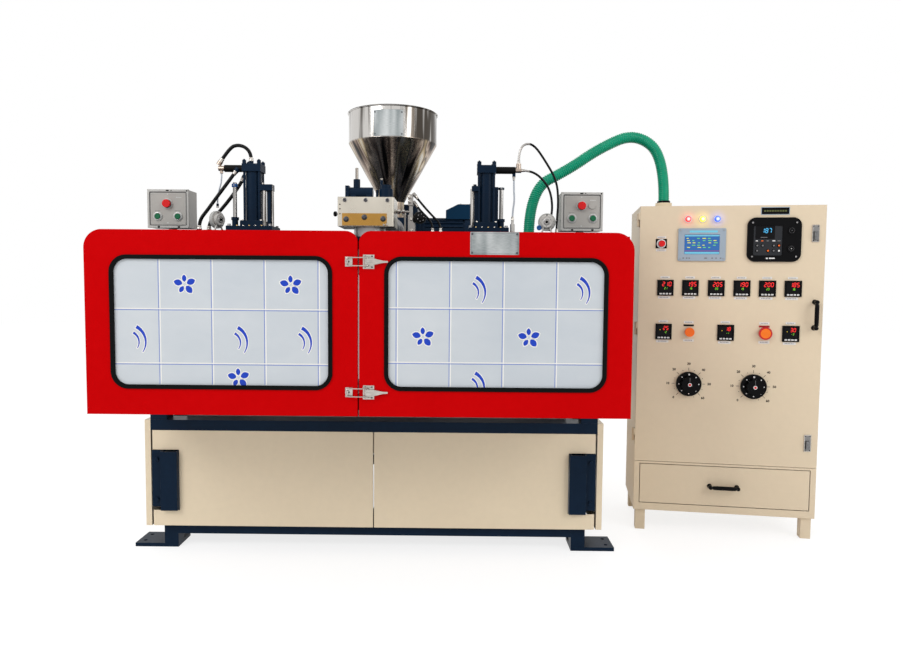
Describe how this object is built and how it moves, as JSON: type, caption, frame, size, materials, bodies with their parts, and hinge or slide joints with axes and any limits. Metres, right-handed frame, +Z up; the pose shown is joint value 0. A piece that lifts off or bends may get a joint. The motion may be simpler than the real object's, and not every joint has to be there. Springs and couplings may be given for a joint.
{
  "type": "blow moulding machine",
  "caption": "Double-station extrusion blow moulding machine with sliding red doors, hopper-fed extruder, mould carriages and a separate electrical cabinet joined by a hose.",
  "frame": {"origin": "on the floor, at the centre of the machine base's anchor holes", "axes": "+X to the right seen from the operator's side, +Y to the rear, +Z up"},
  "size_m": [3.0772, 1.781, 2.045],
  "materials": {
    "navy_paint": "semi-gloss navy enamel, a little dusty on top",
    "cream_paint": "semi-gloss cream enamel",
    "red_paint": "semi-gloss deep red enamel",
    "beige_paint": "fine-textured beige powder coat",
    "bright_steel": "ground steel",
    "mould_aluminium": "milled aluminium",
    "polished_stainless": "mirror-polished stainless sheet",
    "satin_head": "satin nickel-plated steel with a brass front strip",
    "nickel": "bright nickel plate",
    "dark_plastic": "black moulded plastic",
    "grey_plastic": "light grey moulded plastic",
    "red_plastic": "red moulded plastic",
    "green_plastic": "green moulded plastic",
    "orange_plastic": "orange moulded plastic",
    "black_rubber": "black extruded rubber",
    "window_pane": "clear sheet under a pale protective film",
    "hose_green": "ribbed green plastic hose",
    "hose_black": "smooth black air hose"
  },
  "bodies": {
    "machine": {"base_frame": "navy_paint", "covers": "cream_paint", "upper_frame": "navy_paint", "top_plate": "navy_paint", "side_guards": "red_paint", "carriage_rails": "bright_steel", "barrel": "bright_steel", "heater_bands": "bright_steel", "gearbox": "navy_paint", "motor": "navy_paint", "hopper": "polished_stainless", "die_head": "bright_steel", "head_cover": "satin_head", "head_cylinders": "navy_paint", "blow_cylinders": "navy_paint", "operator_boxes": "grey_plastic", "air_hoses": "hose_black", "green_hose": "hose_green", "cabinet_body": "beige_paint", "mounting_plate": "grey_plastic"},
    "screw": {"extruder_screw": "bright_steel"},
    "left_door_leaf": {"left_door": "red_paint", "left_window": "window_pane", "left_window_seal": "black_rubber", "latch_keepers": "nickel"},
    "right_door_leaf": {"right_door": "red_paint", "right_window": "window_pane", "right_window_seal": "black_rubber", "latch_bases": "nickel"},
    "upper_lever": {"upper_latch_lever": "nickel"},
    "upper_bail": {"upper_latch_bail": "nickel"},
    "lower_lever": {"lower_latch_lever": "nickel"},
    "lower_bail": {"lower_latch_bail": "nickel"},
    "left_blow": {"left_blow_pin": "bright_steel"},
    "left_mould_carriage": {"left_carriage": "bright_steel"},
    "left_front_platen": {"left_front_mould": "mould_aluminium"},
    "left_rear_platen": {"left_rear_mould": "mould_aluminium"},
    "right_blow": {"right_blow_pin": "bright_steel"},
    "right_mould_carriage": {"right_carriage": "bright_steel"},
    "right_front_platen": {"right_front_mould": "mould_aluminium"},
    "right_rear_platen": {"right_rear_mould": "mould_aluminium"},
    "cabinet_door_leaf": {"cabinet_door": "beige_paint", "operator_screen": "dark_plastic", "drive_keypad": "dark_plastic", "temperature_controllers": "dark_plastic", "signal_lamps": "grey_plastic"},
    "upper_cabinet_latch": {"upper_swing_latch": "dark_plastic"},
    "lower_cabinet_latch": {"lower_swing_latch": "dark_plastic"},
    "stop_button": {"emergency_stop": "red_plastic"},
    "left_orange": {"left_orange_button": "orange_plastic"},
    "right_orange": {"right_orange_button": "orange_plastic"},
    "left_dial_knob": {"left_dial": "dark_plastic"},
    "right_dial_knob": {"right_dial": "dark_plastic"},
    "drawer_box": {"drawer": "beige_paint"},
    "left_stop": {"left_stop_button": "red_plastic"},
    "left_start": {"left_start_button": "green_plastic"},
    "left_jog": {"left_jog_button": "green_plastic"},
    "right_stop": {"right_stop_button": "red_plastic"},
    "right_start": {"right_start_button": "green_plastic"},
    "right_jog": {"right_jog_button": "green_plastic"}
  },
  "joints": [
    {"name": "screw_spin", "type": "hinge", "parent": "machine", "child": "screw", "pos_m": [0, -0.2, 1.42], "axis": [0, 1, 0], "continuous": true},
    {"name": "left_door_slide", "type": "slide", "parent": "machine", "child": "left_door_leaf", "axis": [-1, 0, 0], "range_m": [0, 0.44]},
    {"name": "right_door_slide", "type": "slide", "parent": "machine", "child": "right_door_leaf", "axis": [1, 0, 0], "range_m": [0, 0.44]},
    {"name": "upper_lever_turn", "type": "hinge", "parent": "right_door_leaf", "child": "upper_lever", "pos_m": [0.026, -1.1195, 1.226], "axis": [0, 0, -1], "range_deg": [0, 110]},
    {"name": "upper_bail_turn", "type": "hinge", "parent": "upper_lever", "child": "upper_bail", "pos_m": [0.036, -1.1265, 1.226], "axis": [0, 0, -1], "range_deg": [-110, 0]},
    {"name": "lower_lever_turn", "type": "hinge", "parent": "right_door_leaf", "child": "lower_lever", "pos_m": [0.026, -1.1195, 0.762], "axis": [0, 0, -1], "range_deg": [0, 110]},
    {"name": "lower_bail_turn", "type": "hinge", "parent": "lower_lever", "child": "lower_bail", "pos_m": [0.036, -1.1265, 0.762], "axis": [0, 0, -1], "range_deg": [-110, 0]},
    {"name": "left_blow_stroke", "type": "slide", "parent": "machine", "child": "left_blow", "axis": [0, 0, -1], "range_m": [0, 0.115]},
    {"name": "left_carriage_slide", "type": "slide", "parent": "machine", "child": "left_mould_carriage", "axis": [1, 0, 0], "range_m": [0, 0.462]},
    {"name": "left_front_platen_slide", "type": "slide", "parent": "left_mould_carriage", "child": "left_front_platen", "axis": [0, -1, 0], "range_m": [0, 0.1]},
    {"name": "left_rear_platen_slide", "type": "slide", "parent": "left_mould_carriage", "child": "left_rear_platen", "axis": [0, 1, 0], "range_m": [0, 0.1]},
    {"name": "right_blow_stroke", "type": "slide", "parent": "machine", "child": "right_blow", "axis": [0, 0, -1], "range_m": [0, 0.115]},
    {"name": "right_carriage_slide", "type": "slide", "parent": "machine", "child": "right_mould_carriage", "axis": [1, 0, 0], "range_m": [-0.462, 0]},
    {"name": "right_front_platen_slide", "type": "slide", "parent": "right_mould_carriage", "child": "right_front_platen", "axis": [0, -1, 0], "range_m": [0, 0.1]},
    {"name": "right_rear_platen_slide", "type": "slide", "parent": "right_mould_carriage", "child": "right_rear_platen", "axis": [0, 1, 0], "range_m": [0, 0.1]},
    {"name": "cabinet_door_swing", "type": "hinge", "parent": "machine", "child": "cabinet_door_leaf", "pos_m": [1.18626, -0.31432, 0.95], "axis": [0, 0, 1], "range_deg": [-90, 0]},
    {"name": "upper_cabinet_latch_turn", "type": "hinge", "parent": "cabinet_door_leaf", "child": "upper_cabinet_latch", "pos_m": [1.93772, -0.45163, 1.385], "axis": [-0.1475, -0.9891, 0], "range_deg": [0, 90]},
    {"name": "lower_cabinet_latch_turn", "type": "hinge", "parent": "cabinet_door_leaf", "child": "lower_cabinet_latch", "pos_m": [1.93772, -0.45163, 0.443], "axis": [-0.1475, -0.9891, 0], "range_deg": [0, 90]},
    {"name": "emergency_stop_press", "type": "slide", "parent": "cabinet_door_leaf", "child": "stop_button", "axis": [0.1475, 0.9891, 0], "range_m": [0, 0.004], "stiffness_N_per_m": 300},
    {"name": "left_orange_press", "type": "slide", "parent": "cabinet_door_leaf", "child": "left_orange", "axis": [0.1475, 0.9891, 0], "range_m": [0, 0.004], "stiffness_N_per_m": 300},
    {"name": "right_orange_press", "type": "slide", "parent": "cabinet_door_leaf", "child": "right_orange", "axis": [0.1475, 0.9891, 0], "range_m": [0, 0.004], "stiffness_N_per_m": 300},
    {"name": "left_dial_turn", "type": "hinge", "parent": "cabinet_door_leaf", "child": "left_dial_knob", "pos_m": [1.41945, -0.37436, 0.698], "axis": [-0.1475, -0.9891, 0], "range_deg": [-300, 0]},
    {"name": "right_dial_turn", "type": "hinge", "parent": "cabinet_door_leaf", "child": "right_dial_knob", "pos_m": [1.69936, -0.41609, 0.694], "axis": [-0.1475, -0.9891, 0], "range_deg": [-300, 0]},
    {"name": "drawer_slide", "type": "slide", "parent": "machine", "child": "drawer_box", "axis": [-0.1475, -0.9891, 0], "range_m": [0, 0.3]},
    {"name": "left_stop_press", "type": "slide", "parent": "machine", "child": "left_stop", "axis": [0, 1, 0], "range_m": [0, 0.004], "stiffness_N_per_m": 300},
    {"name": "left_start_press", "type": "slide", "parent": "machine", "child": "left_start", "axis": [0, 1, 0], "range_m": [0, 0.003], "stiffness_N_per_m": 300},
    {"name": "left_jog_press", "type": "slide", "parent": "machine", "child": "left_jog", "axis": [0, 1, 0], "range_m": [0, 0.003], "stiffness_N_per_m": 300},
    {"name": "right_stop_press", "type": "slide", "parent": "machine", "child": "right_stop", "axis": [0, 1, 0], "range_m": [0, 0.004], "stiffness_N_per_m": 300},
    {"name": "right_start_press", "type": "slide", "parent": "machine", "child": "right_start", "axis": [0, 1, 0], "range_m": [0, 0.003], "stiffness_N_per_m": 300},
    {"name": "right_jog_press", "type": "slide", "parent": "machine", "child": "right_jog", "axis": [0, 1, 0], "range_m": [0, 0.003], "stiffness_N_per_m": 300}
  ],
  "couplings": [
    {"joint": "upper_bail_turn", "follows": "upper_lever_turn", "ratio": -1},
    {"joint": "lower_bail_turn", "follows": "lower_lever_turn", "ratio": -1},
    {"joint": "left_front_platen_slide", "follows": "left_rear_platen_slide", "ratio": 1},
    {"joint": "right_front_platen_slide", "follows": "right_rear_platen_slide", "ratio": 1}
  ]
}
